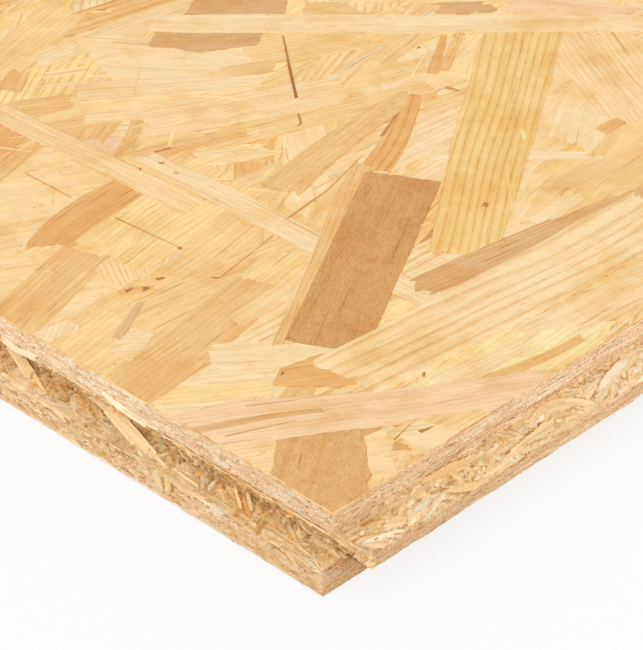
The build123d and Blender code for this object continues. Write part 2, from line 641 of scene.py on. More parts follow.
# The bottom layer: its cells, how far its strands overlap, how high they lie over the skin's bottom, and
# how fine their patches are
BASE_CELL = np.array((120.0, 25.0))
BASE_OVERLAP = 0.4
BASE_RISE = 0.05
BASE_DENSITY = 0.3
# How far the middle of a close strand of BOW_REACH bows out, as a spread, and the least reach that counts
BOW = 1.2
BOW_REACH = 45
LEAST_REACH = 12
# Random strands near the corner, from the lowest to the topmost: how many, the middle and spread of their
# length and width, the spread of their turn, the depths that they lie at, and how ragged their ends are
CLOSE_BROAD = (270, (85, 0.3), (15, 0.35), TURN, (0.24, DEEPEST), 1.0)
CLOSE_NARROW = (260, (22, 0.5), (3.5, 0.5), 0.5, (0.16, 0.34), 0.6)
CLOSE_SHREDS = (450, (6, 0.6), (0.6, 0.4), 0.5, (0.02, 0.24), 0.3)


def scatter_strands(strips, rng, low, high, cell, top=True, skip=None):
    """Random strands, one for each cell of a grid, thick enough together to cover the face."""
    counts = np.ceil((high - low) / cell).astype(int)
    for column in range(counts[0]):
        for row in range(counts[1]):
            centre = low + (np.array((column, row)) + rng.uniform(0, 1, 2)) * cell
            length = float(np.clip(rng.normal(*FAR_LENGTH), *FAR_LENGTH_LIMITS))
            width = float(np.clip(rng.lognormal(*FAR_WIDTH), *FAR_WIDTH_LIMITS))
            angle = rng.normal(0, TURN)
            tone, figure = random_look(rng)
            depth = rng.uniform(0.0, DEEPEST)
            if skip is not None and (centre < skip).all():
                continue
            end_width = width * rng.uniform(0.8, 1.0)
            outline = bar_outline(rng, length, width, end_width, 0, 0.4, 0.8, length / 4, 3.0)
            strip = strip_of(strips, centre, low, high)
            outline = turned(outline, centre, angle)
            lay_strand(strip, rng, outline, centre, angle, depth, tone, figure, top=top)


def lay_base(strips, rng, low, high, top=True):
    """A bottom layer of strands side by side, so that a gap between the others shows wood."""
    counts = np.ceil((high - low) / BASE_CELL).astype(int)
    cell = (high - low) / counts
    for column in range(counts[0]):
        for row in range(counts[1]):
            centre = low + (np.array((column, row)) + 0.5) * cell
            outline = centre + np.array(((-1, -1), (1, -1), (1, 1), (-1, 1))) * (cell / 2 + BASE_OVERLAP)
            tone, figure = random_look(rng)
            strip = strip_of(strips, centre, low, high)
            lay_strand(strip, rng, outline, centre, 0.0, SKIN - BASE_RISE, tone, figure, top=top,
                       density=BASE_DENSITY)


def scatter_close(strips, rng, count, length, width, turn, depths, near_ragged):
    """Random strands near the photographed corner. length and width are each a middle and a spread."""
    for number in range(count):
        centre = TOP_LOW + rng.uniform(-5, NEAR_REACH, 2)
        long = float(length[0] * rng.lognormal(0, length[1]))
        wide = float(min(width[0] * rng.lognormal(0, width[1]), long / 2))
        angle = rng.normal(0, turn)
        bend = rng.normal(0, BOW) / BOW_REACH ** 2 * (BOW_REACH / max(long / 2, LEAST_REACH))
        tone, figure = random_look(rng, light=width[0] < 10)
        rough = min(0.12, wide * 0.06)
        outline = bar_outline(rng, long, wide, wide * rng.uniform(0.5, 1.0), bend, rough, near_ragged,
                              min(4.0, long / 4), max(0.5, wide / 18))
        strip = strip_of(strips, centre, TOP_LOW, TOP_HIGH)
        outline = turned(outline, centre, angle)
        depth = rng.uniform(*depths)
        lay_strand(strip, rng, outline, centre, angle, depth, tone, figure, bend, close=wide > 2)


def bar(tone, figure, start, end, width, end_width=None, ragged=1.0, bow=0.0):
    """A strand that the photograph shows whole, by its middle line and width on the top face, and by how
    far its ends bend away from that line."""
    return {"tone": tone, "figure": figure, "start": start, "end": end, "width": width,
            "end_width": end_width or width, "ragged": ragged, "bow": bow}


def patch(tone, figure, grain, *corners, wander=0.2):
    """A strand of which the photograph shows an irregular part, by its corners and its grain in degrees,
    and by how unevenly its sides run."""
    return {"tone": tone, "figure": figure, "grain": grain, "corners": corners, "wander": wander}


# What lies around the photographed corner, from the lowest to the topmost
PLACED = (
    patch("straw", STREAKED, 10, (-4, 70), (-4, 130), (80, 130), (80, 60), (40, 70)),
    patch("pale", PLAIN, -30, (0, 96), (30, 96), (70, 120), (60, 160), (-4, 170), (-4, 100)),
    bar("honey", STREAKED, (-6, 150), (70, 168), 18),
    bar("amber", STREAKED, (42, 163), (60, 170), 13),
    bar("honey", STREAKED, (66, 152), (84, 160), 12),
    bar("honey", STREAKED, (60, 172), (82, 158), 18),
    bar("honey", RINGED, (88, 201), (140, 189), 11),
    bar("straw", STREAKED, (70, 192), (110, 205), 14),
    bar("cream", STREAKED, (84, 190), (142, 181), 9, bow=-1),
    bar("amber", PLAIN, (69, 183), (78, 189), 7),
    bar("pale", STREAKED, (76, 165), (106, 143), 18),
    bar("cream", PLAIN, (96, 182), (122, 150), 22),
    bar("pale", PLAIN, (108, 68), (205, 82), 30),
    bar("straw", PLAIN, (118, 42), (215, 60), 26),
    bar("cream", PLAIN, (111, 50), (127, 57), 7, ragged=1.5),
    bar("cream", PLAIN, (116, 44.5), (134, 46), 5),
    bar("honey", PLAIN, (128, 52.5), (149, 50), 7, ragged=2),
    bar("golden", STREAKED, (134, 58), (155, 61), 6),
    bar("honey", PLAIN, (150, 54), (163, 60), 5, ragged=1.5),
    bar("cream", PLAIN, (150, 62), (176, 76), 15),
    bar("pale", STREAKED, (174, 58), (198, 104), 24),
    bar("straw", STREAKED, (126, 152), (168, 134), 17, bow=1),
    bar("pale", RINGED, (160, 150), (215, 190), 26),
    bar("cream", STREAKED, (140, 185), (215, 215), 22),
    bar("sunny", STREAKED, (46, 8), (92, 12), 26),
    bar("honey", STREAKED, (56, 8.5), (88, 4), 5, 3, bow=1),
    bar("cream", STREAKED, (84, 12.5), (122, 8), 12),
    bar("cream", PLAIN, (87, 16), (118, 11.5), 3),
    bar("cream", STREAKED, (50, 15), (76, 13), 9, 5),
    bar("honey", STREAKED, (-6, 101), (33, 113), 14),
    bar("amber", STREAKED, (26, 122.5), (60, 128), 12, bow=-1),
    patch("pale", FINE_RINGED, 60, (26, 95), (42, 97), (43, 103), (37, 108), (28, 106)),
    patch("cream", STREAKED, -38, (-4, 45), (32, 41), (33, 57), (20, 58), (-4, 60)),
    bar("yellow", STREAKED, (0, 59), (24, 42), 7),
    bar("straw", STREAKED, (18, 84), (70, 78), 14),
    bar("yellow", STREAKED, (50, 75.5), (66, 78), 9),
    patch("cream", STREAKED, 140, (8, 72), (20, 76), (18, 82), (8, 79)),
    patch("cream", STREAKED, 35, (-2, 92), (9, 89), (10, 95), (-2, 97)),
    bar("yellow", STREAKED, (34, 108), (66, 112), 22),
    bar("tan", STREAKED, (12, 81), (27, 88), 3.5, 2),
    bar("honey", STREAKED, (-6, 62), (52, 72.5), 14.5, bow=0.8),
    bar("pale", PLAIN, (36, 66), (57, 67.5), 6),
    bar("cream", PLAIN, (22, 61), (46, 39), 11),
    bar("pale", STREAKED, (82, 146), (130, 122), 15),
    patch("honey", STREAKED, -35, (150, 157), (156, 161), (163, 153), (162, 144.5), (157, 147.5)),
    bar("straw", STREAKED, (88, 128), (146, 106), 9),
    bar("honey", STREAKED, (65, 139), (98, 124.5), 6, 4, bow=-1),
    bar("cream", STREAKED, (80, 169), (118, 140.5), 10, 8),
    bar("rose", PLAIN, (76, 180), (118, 143.5), 1.6),
    patch("tan", PORED, -35, (110, 174), (119, 180), (125, 171.5), (137, 159), (131, 154), (117, 162),
          (114, 169)),
    patch("tan", PORED, -35, (127, 179), (139, 185), (154, 166), (148, 161), (140, 164)),
    bar("honey", STREAKED, (114, 150), (126, 143), 6),
    bar("pale", PLAIN, (140, 188), (216, 106), 11),
    bar("rose", PLAIN, (194, 122), (212, 94), 10),
    bar("tan", PORED, (178, 134), (189, 124), 6, ragged=1.5),
    patch("amber", STREAKED, -30, (24, 42.5), (30, 46), (38, 44), (45, 41), (54, 39), (54, 30), (38, 29.5),
          (33, 32)),
    bar("cream", STREAKED, (106, 92), (142, 90), 12),
    bar("cream", STREAKED, (74.5, 36), (71, 135), 8.4),
    bar("pale", STREAKED, (63.5, 108), (60.5, 179), 7.6),
    bar("straw", STREAKED, (68.6, 112), (68, 138), 3),
    bar("honey", STREAKED, (84, 101), (139, 109), 11, 6, bow=-1),
    bar("amber", RINGED, (107, 88), (141, 106), 9, 4, bow=1),
    bar("amber", STREAKED, (152, 111), (169, 122.5), 2.4, 1.6),
    bar("honey", STREAKED, (155, 110.5), (176, 122), 3.4, 2),
    bar("golden", RINGED, (93, 47.7), (188, 111), 17, 22),
    bar("cream", PLAIN, (118, 183), (212, 87), 10),
    bar("tan", STREAKED, (76, 46), (148, 34.5), 9, 6, bow=-0.8),
    bar("cream", STREAKED, (44, 57), (76, 76), 4),
    bar("honey", STREAKED, (36, 51.5), (106, 93), 5),
    patch("umber", PORED, 29.4, (38.2, 53), (104.7, 90.5), (114.3, 73.6), (47.8, 36), wander=0.05),
    bar("cream", SOFT_RINGED, (37, 32), (144, 25.5), 20, 22, bow=0.8),
    patch("pale", STREAKED, -33, (-4, 14), (4, 14), (14, 27), (-4, 38)),
    bar("straw", STREAKED, (26, 5), (68, -2), 15),
    patch("russet", PORED, 33, (-4, -3), (-4, 18), (1, 20), (10, 27.5), (26, 17), (23.5, 14), (23, 10.5),
          (20.5, 7), (17, 4.5), (12, 1.5), (8, -3)),
    patch("pale", PLAIN, -30, (20, 0), (30, 13), (24, 14), (14, 2)),
    patch("cream", PLAIN, -33, (29, -2), (41, -2), (38, 9), (30, 10)),
    patch("rose", STREAKED, -32, (-4, 51.5), (12, 45.5), (20, 39), (30, 31), (42, 21.5), (50, 16), (60, 9.5),
          (70, 3.5), (78, -3), (52, -3), (50, 2), (41, 8), (31, 12.5), (25.5, 17.2), (10, 27), (-4, 35)),
    bar("tan", STREAKED, (-6, 46), (26, 28), 3.5, 2, bow=-0.8),
)


def corner_outline(rng, corners, wander, step=1.6):
    """The corners joined by slightly uneven lines."""
    points = []
    for start, stop in zip(corners, corners[1:] + corners[:1]):
        start = np.array(start, float)
        stop = np.array(stop, float)
        steps = max(1, int(np.linalg.norm(stop - start) / step))
        for number in range(steps):
            points.append(start + (stop - start) * number / steps + rng.normal(0, wander, 2))
    return np.array(points)


# How deep the lowest of the placed strands lies, how rough their sides are, and how freely their shade
# departs
PLACED_DEPTH = 0.22
PLACED_ROUGH = 0.12
PLACED_STRAY = 0.2


def line_of(start, end):
    """The middle, length and angle of the line between two points."""
    start = np.array(start, float)
    end = np.array(end, float)
    return (start + end) / 2, np.linalg.norm(end - start), math.atan2(*(end - start)[::-1])


def place_strands(strips, rng):
    """Lays the strands around the photographed corner over the random ones."""
    for number, strand in enumerate(PLACED):
        bend = 0.0
        if "corners" in strand:
            angle = math.radians(strand["grain"])
            outline = corner_outline(rng, strand["corners"], strand["wander"])
            middle = outline.mean(0)
        else:
            middle, length, angle = line_of(strand["start"], strand["end"])
            bend = strand["bow"] / (length / 2) ** 2
            flat = bar_outline(rng, length, strand["width"], strand["end_width"], bend, PLACED_ROUGH,
                               strand["ragged"])
            outline = turned(flat, middle, angle)
        depth = PLACED_DEPTH * (1 - (number + 1) / len(PLACED))
        strip = strip_of(strips, TOP_LOW + middle, TOP_LOW, TOP_HIGH)
        lay_strand(strip, rng, outline + TOP_LOW, middle + TOP_LOW, angle, depth, TONES[strand["tone"]],
                   strand["figure"], bend, close=True, stray=PLACED_STRAY)


# Dark slits, spots and stains in the top face, some of them painted shadow as marked: tone, start, end and
# width
MARKS = (
    ("amber", (160, 61), (168, 61.5), 4),
    ("tan", (130, 48.5), (134, 50), 1.8),
    # Painted shadow in a gap between strands
    ("slit_shadow", (118, 127.5), (138.5, 153), 1.2),
    ("line", (3, 36), (18, 29), 0.5),
    ("resin", (14, 41), (24, 34), 0.4),
    ("amber", (25.5, 95), (33, 90), 3.2),
    ("knot", (26.8, 94.2), (29.2, 93), 1.7),
    ("knot", (30.2, 91.9), (32, 90.9), 1.5),
    ("knot", (28.2, 43.6), (29.4, 44.4), 0.9),
    ("knot", (39.2, 53.4), (40.4, 52.8), 0.9),
    ("resin", (50.4, 20.6), (51.8, 21.2), 1.0),
    ("resin", (35.4, 92.4), (37.2, 91.4), 1.0),
    ("knot", (48.4, 98.4), (49.2, 98), 1.0),
    ("line", (47, 119), (48.8, 98), 0.35),
    ("knot", (108.5, 117.4), (110, 117.8), 0.5),
    ("resin", (110, 117.8), (113, 121.8), 0.6),
    # Painted shadow under a strand's edge: this hook and the line after it
    ("resin", (45, 83.6), (46, 82.2), 0.8),
    ("line", (46, 82), (68, 86), 0.3),
    ("resin", (34, 6.2), (38, 5.2), 1.3),
    ("resin", (28, 8.4), (35, 9.9), 0.4),
    ("knot", (71.5, 129.6), (72.8, 128.8), 0.9),
    ("resin", (74.5, 134.4), (79, 133), 0.6),
    ("resin", (71.4, 124), (71.8, 122.6), 0.5),
    # Painted shadow along a strand's lower edge: these two lines and the resin mark after them
    ("line", (76, 89), (92, 91), 0.4),
    ("line", (92, 91), (110, 96), 0.4),
    ("resin", (120, 99), (130, 103.4), 0.7),
    ("resin", (149, 104), (150, 100), 0.7),
    ("resin", (113, 58), (114.6, 59.2), 1.3),
    ("knot", (66.3, 130.8), (67.2, 131.4), 0.5),
    ("line", (45.5, 150), (45.8, 133.5), 0.3),
    ("resin", (114, 198), (115.6, 196.6), 0.8),
    ("resin", (165.6, 167), (165.9, 164), 0.6),
    ("line", (76, 72), (92, 83), 0.5),
    ("line", (98, 46.4), (120, 43), 0.3),
)


# How high the lowest mark lies over the top face, and how much higher each further one lies
MARK_RISE = 0.012
MARK_STEP = 0.0008


def place_marks(strips, rng):
    """Lays the dark slits and spots over the strands, some of them painted shadow."""
    for number, (name, start, end, width) in enumerate(MARKS):
        middle, length, angle = line_of(start, end)
        middle = middle + TOP_LOW
        rough, ragged = width * 0.08, width * 0.2
        flat = bar_outline(rng, length, width, width * 0.6, 0.0, rough, ragged, length / 6, width / 3)
        depth = -MARK_RISE - MARK_STEP * number
        strip = strip_of(strips, middle, TOP_LOW, TOP_HIGH)
        lay_strand(strip, rng, turned(flat, middle, angle), middle, angle, depth, TONES[name], PLAIN)


# The body's points along its edges stand close together up to here from the photographed corner, then apart
FINE_REACH = 140
FINE_STEP = 0.42
FAR_STEP = 9.0
STEP_GROWTH = 1.05
# The layers, lumps and grains that roughen the milled edge, by their length, width and height
LAYERS = np.array((16, 6, 0.66))
LUMPS = np.array((6, 2.6, 1.5))
GRAINS = np.array((1.1, 0.8, 0.6))
# The milled edge stays this far inside the faces
FACE_MARGIN = 0.15
TONGUE_ROUGHNESS = 0.75
# How much darker the cut board is at the photographed corner, over how many millimetres that would fade
# from full to none, and the painted shade under the tongue, on its nose and above it
CORNER_DARKENING = 0.4
CORNER_FADE = 200
UNDER_TONGUE_SHADES = (0.4, 0.55, 0.0)


def graded(length):
    """Places along a length, as shares of it: close together up to FINE_REACH, and then further apart."""
    places = [0.0]
    step = FINE_STEP
    while places[-1] + step < length:
        places.append(places[-1] + step)
        if places[-1] > FINE_REACH:
            step = min(FAR_STEP, step * STEP_GROWTH)
    places[-1] = length
    return np.array(places) / length


def levels():
    """Heights of the body's rows of points, closer together where the profile runs nearly level."""
    spans = (
        (0.0, LOWER_LIP, 11),
        (LOWER_LIP, NOSE_BOTTOM, 14),
        (NOSE_BOTTOM, NOSE_TOP, 7),
        (NOSE_TOP, SHOULDER_BOTTOM - FLAT_RISE, 11),
        (SHOULDER_BOTTOM - FLAT_RISE, SHOULDER_BOTTOM, 5),
        (SHOULDER_BOTTOM, THICKNESS - SKIN, 11),
    )
    rows = [np.linspace(low, high, count, endpoint=False) for low, high, count in spans]
    heights = np.concatenate(rows + [[THICKNESS - SKIN]])
    heights[0] = SKIN
    return np.sort(heights)


def torn(point, deep):
    """How far a point of the milled edge lies back from its true place, and how far up or down."""
    layer = noise.cell(Vector(point / LAYERS))
    coarse = noise.noise_vector(Vector(point / LUMPS))
    fine = noise.noise_vector(Vector(point / GRAINS + (40, 0, 0)))
    level = 0.08 * layer + 0.12 * coarse.x + 0.10 * fine.x
    rise = (0.08 + 0.3 * deep) * coarse.z + 0.05 * fine.z
    return level + deep * (0.35 + 0.3 * coarse.x), rise


def rising(values, start, span):
    """From 0 at the start to 1 past the span."""
    return np.clip((values - start) / span, 0, 1)


def body_rings(heights, tongue, groove):
    """Rings of points round the panel, one for each height, and how many points each side of a ring has."""
    length, width = (PANEL_HIGH - PANEL_LOW)[:2]
    far_long, far_short = (np.linspace(0, 1, int(size / FAR_STEP)) for size in (length, width))
    shares = (graded(length), far_short, far_long, 1 - graded(width)[::-1])
    rings = []
    for z, tongue_in, groove_in in zip(heights, tongue, groove):
        low = PANEL_LOW[:2] + (groove_in, tongue_in)
        high = PANEL_HIGH[:2] - (tongue_in, groove_in)
        corners = np.array((low, (high[0], low[1]), high, (low[0], high[1]), low))
        ring = np.concatenate([start + share[:-1, None] * (stop - start)
                               for share, start, stop in zip(shares, corners, corners[1:])])
        rings.append(np.column_stack((ring, np.full(len(ring), z))))
    return np.array(rings), [len(share) - 1 for share in shares]


def roughened(rings, deep, outward):
    """The rings with each point moved off its true place, and the panel's faces still flat."""
    moved = rings.copy()
    rows, columns = rings.shape[:2]
    for row in range(rows):
        for column in range(columns):
            level, rise = torn(rings[row, column], deep[row, column])
            moved[row, column, :2] -= outward[column] * level
            if 0 < row < rows - 1:
                moved[row, column, 2] += rise
    moved[:, :, 2] = np.clip(moved[:, :, 2], FACE_MARGIN, THICKNESS - FACE_MARGIN)
    moved[1:-1, :, 2] = np.clip(moved[1:-1, :, 2], moved[0, 0, 2], moved[-1, 0, 2])
    return moved


def body_shade(rings, heights, groove, is_groove):
    """How much darker each point of the body is: painted shade in the groove and round the tongue, and
    darker by the corner.
    """
    painted_shade_and_darkening = rising(groove, 1.0, 5)[:, None] * (heights < GROOVE_TOP)[:, None] * is_groove
    under_tongue = np.interp(heights, (LOWER_LIP, NOSE_TOP, NOSE_TOP + 1), UNDER_TONGUE_SHADES)
    painted_shade_and_darkening = painted_shade_and_darkening + under_tongue[:, None] * (1 - is_groove)
    from_corner = np.linalg.norm(rings[:, :, :2] - PANEL_LOW[:2], axis=2)
    return painted_shade_and_darkening + np.clip(CORNER_DARKENING - from_corner / CORNER_FADE, 0, 1)


def panel_body():
    """The panel under its strands: milled edges, torn as the cutter left them, and plain faces."""
    heights = levels()
    tongue, groove = (np.interp(heights, *PROFILES[kind]) for kind in ("tongue", "groove"))
    rings, counts = body_rings(heights, tongue, groove)
    rows, columns = rings.shape[:2]
    is_groove = np.repeat((0.0, 0.0, 1.0, 1.0), counts)
    outward = np.repeat(np.array(((0, -1), (1, 0), (0, 1), (-1, 0)), float), counts, axis=0)
    groove_deep = rising(groove, SURFACE_GAP * 0.3, 2.2) * (heights < GROOVE_TOP + 0.3)
    tongue_deep = rising(TONGUE_LENGTH - tongue, 0, 1.5) * TONGUE_ROUGHNESS
    deep = groove_deep[:, None] * is_groove + tongue_deep[:, None] * (1 - is_groove)

    faces = ring_faces(rows, columns)
    faces.append(tuple(reversed(range(columns))))
    faces.append(tuple(range((rows - 1) * columns, rows * columns)))
    mesh = bpy.data.meshes.new("panel_body")
    mesh.from_pydata(roughened(rings, deep, outward).reshape(-1, 3) * MM, [], faces)
    painted_shade_and_darkening = body_shade(rings, heights, groove, is_groove).astype(np.float32)
    mesh.attributes.new("painted_shade_and_darkening", "FLOAT", "POINT").data.foreach_set("value", painted_shade_and_darkening.ravel())
    set_body_map(mesh, rings)
    mesh.materials.append(cut_material())
    made = add_object("panel_body", mesh)
    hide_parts(PANEL)
    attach(made, "root")


# The share of the texture map's height that the milled edge takes, the gap between its bands, their margin,
# the length that they leave free, and the size and margin of the two hidden faces above them
EDGE_SHARE = 0.8
BAND_GAP = 3
BAND_MARGIN = 1
BAND_SPARE = 10
CAP_SIZE = (0.48, 0.17)
CAP_MARGIN = (0.01, 0.02)


def set_body_map(mesh, rings):
    """Lays the milled edge out in the texture map as stacked bands, and the two hidden faces above them."""
    rows, columns = rings.shape[:2]
    middle = rings[rows // 4]
    steps = np.linalg.norm(np.roll(middle, -1, axis=0) - middle, axis=1)
    travel = np.concatenate(([0], np.cumsum(steps)))
    rise = np.linalg.norm(np.diff(rings[:, columns // 8], axis=0), axis=1)
    climb = np.concatenate(([0], np.cumsum(rise)))
    band_height = climb[-1] + BAND_GAP
    bands = int(math.ceil(math.sqrt(travel[-1] * EDGE_SHARE / band_height)))
    band_length = travel[-1] / bands
    scale = min(EDGE_SHARE / (bands * band_height), 1 / (band_length + BAND_SPARE))
    places = []
    for row in range(rows - 1):
        for column in range(columns):
            band = min(int(travel[column] / band_length), bands - 1)
            start, floor = -band * band_length + BAND_MARGIN, band * band_height + BAND_MARGIN
            left, right = ((travel[column + side] + start) * scale for side in (0, 1))
            low, high = ((climb[row + side] + floor) * scale for side in (0, 1))
            places += [(left, low), (right, low), (right, high), (left, high)]
    size = (PANEL_HIGH - PANEL_LOW)[:2]
    for row, shift in ((0, 0.0), (rows - 1, 0.5)):
        cap = (rings[row, :, :2] - PANEL_LOW[:2]) / size * CAP_SIZE + (shift, EDGE_SHARE) + CAP_MARGIN
        places += list(cap[::-1] if row == 0 else cap)
    set_map(mesh, places)


# Families of torn flakes and splinters: the stretch of the profile that they lie on, how many there are on
# each square millimetre or each millimetre of edge, their length and width, and the mean and spread of
# their turn from the edge's direction in degrees. For flakes also their height over the milled surface and
# their slope along themselves, and for splinters their lift in degrees.
Flakes = namedtuple("Flakes", "reach count length width aim level tilt tones")
Splinters = namedtuple("Splinters", "reach count length width aim lift tones")

FRESH = ("cream", "cut", "cream", "pale", "rose", "straw")
WARM = ("honey", "pale", "straw", "tan")
BRIGHT = ("cream", "white", "cut", "cream", "pale")
GOLD = ("honey", "cream", "straw", "golden", "amber", "pale")
PITS = ("tan", "umber", "line", "resin")
CLEAN = FRESH + BRIGHT + BRIGHT
# The milled surfaces that tear: as an inset and a height at each bend, from the lowest to the topmost
TORN_PATHS = {
    "tongue": ((0.25, 11.2), (TAPER_LENGTH, 15.15), (7.6, 15.32)),
    "groove": ((0.05, 0.7), (0.1, 6.9), (0.5, 7.05), (7.8, 7.6), (7.9, 11.1), (3.2, 15.25)),
}
FLAKES = {
    "tongue": (
        Flakes((0, 9.2), 0.10, (11, 30), (2.5, 6.0), (0, 14), (-0.05, 0.08), (0, 0.006), CLEAN),
        Flakes((0, 9.2), 0.35, (4, 12), (0.9, 2.8), (5, 26), (0.05, 0.10), (0, 0.02), CLEAN),
        Flakes((0, 9.2), 0.55, (1.2, 4), (0.3, 1.0), (0, 40), (0.12, 0.12), (0, 0.06), BRIGHT + WARM),
        Flakes((0, 9.2), 0.4, (0.6, 2.6), (0.15, 0.4), (0, 40), (0.2, 0.08), (0, 0.03), PITS),
    ),
    "groove": (
        Flakes((0, 6.8), 0.35, (4, 14), (0.6, 2.0), (0, 5), (0.02, 0.08), (0, 0.006), FRESH),
        Flakes((0, 6.8), 1.8, (0.8, 3.5), (0.2, 0.6), (0, 12), (0.10, 0.10), (0, 0.04), FRESH + WARM),
        Flakes((0, 12), 0.5, (0.6, 2.2), (0.15, 0.4), (0, 15), (0.16, 0.08), (0, 0.03), PITS),
        Flakes((6.6, 23.7), 0.35, (5, 15), (1.2, 3.5), (0, 40), (0.0, 0.2), (0, 0.03), FRESH),
        Flakes((6.0, 10.8), 1.4, (4, 18), (0.4, 1.4), (0, 7), (0.2, 0.2), (0, 0.015), BRIGHT),
        Flakes((9.5, 14.5), 0.8, (3, 8), (0.4, 1.6), (65, 38), (0.5, 0.45), (0, 0.14), BRIGHT + GOLD),
        Flakes((13, 19), 0.8, (3, 9), (0.4, 1.7), (75, 42), (0.7, 0.5), (0, 0.16), BRIGHT + GOLD),
        Flakes((13, 19), 0.7, (1.5, 5), (0.3, 0.8), (90, 30), (0.9, 0.5), (0, 0.15), FRESH + GOLD),
        Flakes((17.5, 23.7), 0.4, (2, 8), (0.8, 2.5), (30, 50), (0.3, 0.35), (0, 0.08), GOLD),
        Flakes((6.6, 23.7), 0.4, (0.8, 2.6), (0.3, 0.8), (0, 60), (0.4, 0.4), (0, 0.15), FRESH + WARM),
    ),
}
SPLINTERS = {
    "groove": (
        Splinters((10.5, 18.5), 1.3, (2, 5.5), (0.3, 1.1), (75, 45), (12, 14), FRESH + GOLD),
        Splinters((6.8, 12.5), 0.5, (2, 7), (0.3, 0.9), (0, 25), (4, 5), BRIGHT),
        Splinters((18.5, 23.7), 0.4, (2, 5), (0.5, 1.4), (50, 50), (8, 8), GOLD),
        Splinters((23.3, 23.9), 0.4, (3, 9), (0.3, 0.7), (0, 8), (1, 2), ("white", "cream")),
    ),
    "tongue": (
        Splinters((1, 8.5), 0.3, (1.5, 5), (0.3, 0.9), (0, 35), (2, 2), FRESH),
        Splinters((8.4, 9.2), 0.5, (0.5, 1.6), (0.3, 0.8), (0, 60), (8, 10), ("cut", "cut_rose", "cream")),
    ),
}
# Bundles of fibres that the photograph shows one by one: tone, width, and points along the edge, in from
# the overall box and up
BUNDLES = {
    "groove": (
        ("white", 1.3, (115.9, 2.7, 15.9), (109.3, 2.4, 15.2), (102.3, 2.7, 15.8)),
        ("white", 1.3, (81.4, 2.8, 17.4), (75.8, 2.5, 16.5), (66.9, 2.4, 15.7), (61.4, 2.7, 16.0)),
        ("cream", 2.6, (119.0, 6.6, 12.4), (114.5, 6.0, 10.6), (109.5, 4.6, 9.2), (104.5, 2.8, 8.2),
         (99.5, 1.4, 7.2)),
        ("cream", 3.0, (83.0, 6.0, 11.6), (77.4, 4.9, 9.9), (71.0, 3.7, 8.9), (64.0, 2.2, 8.0),
         (55.0, 0.8, 7.0)),
        ("pale", 1.8, (89.0, 6.4, 11.4), (82.0, 5.9, 10.2), (76.0, 5.0, 9.2), (69.0, 4.0, 8.0)),
        ("pale", 0.7, (41.3, 5.8, 10.4), (38.0, 4.0, 8.9), (34.0, 1.6, 7.5)),
        ("cream", 0.7, (37.6, 6.2, 10.4), (34.8, 4.6, 8.9), (31.5, 2.6, 7.6)),
        ("cut", 1.6, (48.0, 0.9, 7.25), (38.0, 0.7, 7.2), (28.0, 0.6, 7.2), (16.0, 0.5, 7.15)),
        ("cream", 1.4, (34.0, 3.0, 7.5), (26.0, 2.2, 7.4), (18.0, 1.6, 7.3), (10.5, 1.4, 7.25)),
        ("cut", 1.8, (60.0, 2.4, 7.6), (52.0, 1.6, 7.4), (45.0, 1.2, 7.3)),
    ),
    "tongue": (
        ("white", 1.1, (10.8, 2.4, 13.2), (13.5, 3.8, 14.4), (16.4, 5.0, 15.3)),
        ("white", 1.1, (32.4, 3.9, 14.6), (37.0, 2.7, 13.6), (41.8, 1.3, 12.5)),
        ("resin", 0.9, (9.6, 5.3, 15.35), (11.6, 5.0, 15.2), (13.4, 4.9, 15.1)),
        ("resin", 1.2, (21.8, 0.4, 11.4), (22.8, 0.3, 11.3), (23.9, 0.5, 11.5)),
        ("white", 1.7, (19.4, 3.2, 13.9), (22.2, 2.8, 13.5), (25.4, 2.6, 13.3)),
        ("knot", 0.7, (39.6, 7.66, 20.6), (40.8, 7.64, 20.2), (42.2, 7.66, 20.4)),
    ),
}
# The width of a bundle's strips, the points along each, and which way they face: out and up
STRIP_WIDTH = 0.6
BUNDLE_POINTS = 9
BUNDLE_FACING = (0.68, 0.73)
# Each edge: its name, the corner of the overall box it starts at, where it runs and faces, what it is, and
# what it meets at its start and at its end
EDGES = (
    ("long_tongue_fibres", (0, 0), (1, 0), (0, -1), "tongue", "groove", "tongue"),
    ("short_groove_fibres", (0, 0), (0, 1), (-1, 0), "groove", "tongue", "groove"),
    ("long_groove_fibres", (0, 1), (1, 0), (0, 1), "groove", "groove", "tongue"),
    ("short_tongue_fibres", (1, 0), (0, 1), (1, 0), "tongue", "tongue", "groove"),
)
# The torn surface ends this far from the photographed corner, and this share of the splinters goes on
TEAR_REACH = 135.0
FAR_SHARE = 0.03
# The spacing of its points, the rows that its back leaves out, how deep its hollows and its back lie, the
# gap to the edge round the corner, the width over which it sinks in at its rim, and how low it lies between
# the flakes
TEAR_STEP = 0.26
BACK_ROWS = 8
TEAR_DEPTH = 0.45
BACK_DEPTH = TEAR_DEPTH + 0.35
END_GAP = 0.15
FADE_WIDTH = 0.7
FLAKE_FLOOR = -0.3
UP = np.array((0, 0, 1.0))


def inset_at(kind, height):
    """How far in from the overall box an edge of that kind lies at a height."""
    return float(np.interp(height, *PROFILES[kind]))


def walk(path, step):
    """Points at even steps along a bent line of insets and heights, with the way each faces: out and up."""
    corners = np.array([(-inset, height) for inset, height in path])
    lengths = np.linalg.norm(np.diff(corners, axis=0), axis=1)
    travel = np.concatenate(([0], np.cumsum(lengths)))
    places = np.linspace(0, travel[-1], int(travel[-1] / step) + 1)
    spots = np.column_stack([np.interp(places, travel, corners[:, axis]) for axis in (0, 1)])
    tangent = np.gradient(spots, places, axis=0)
    tangent = np.column_stack([soften(tangent[:, axis], 30) for axis in (0, 1)])
    normal = np.column_stack((tangent[:, 1], -tangent[:, 0]))
    return places, spots, normal / np.linalg.norm(normal, axis=1, keepdims=True)


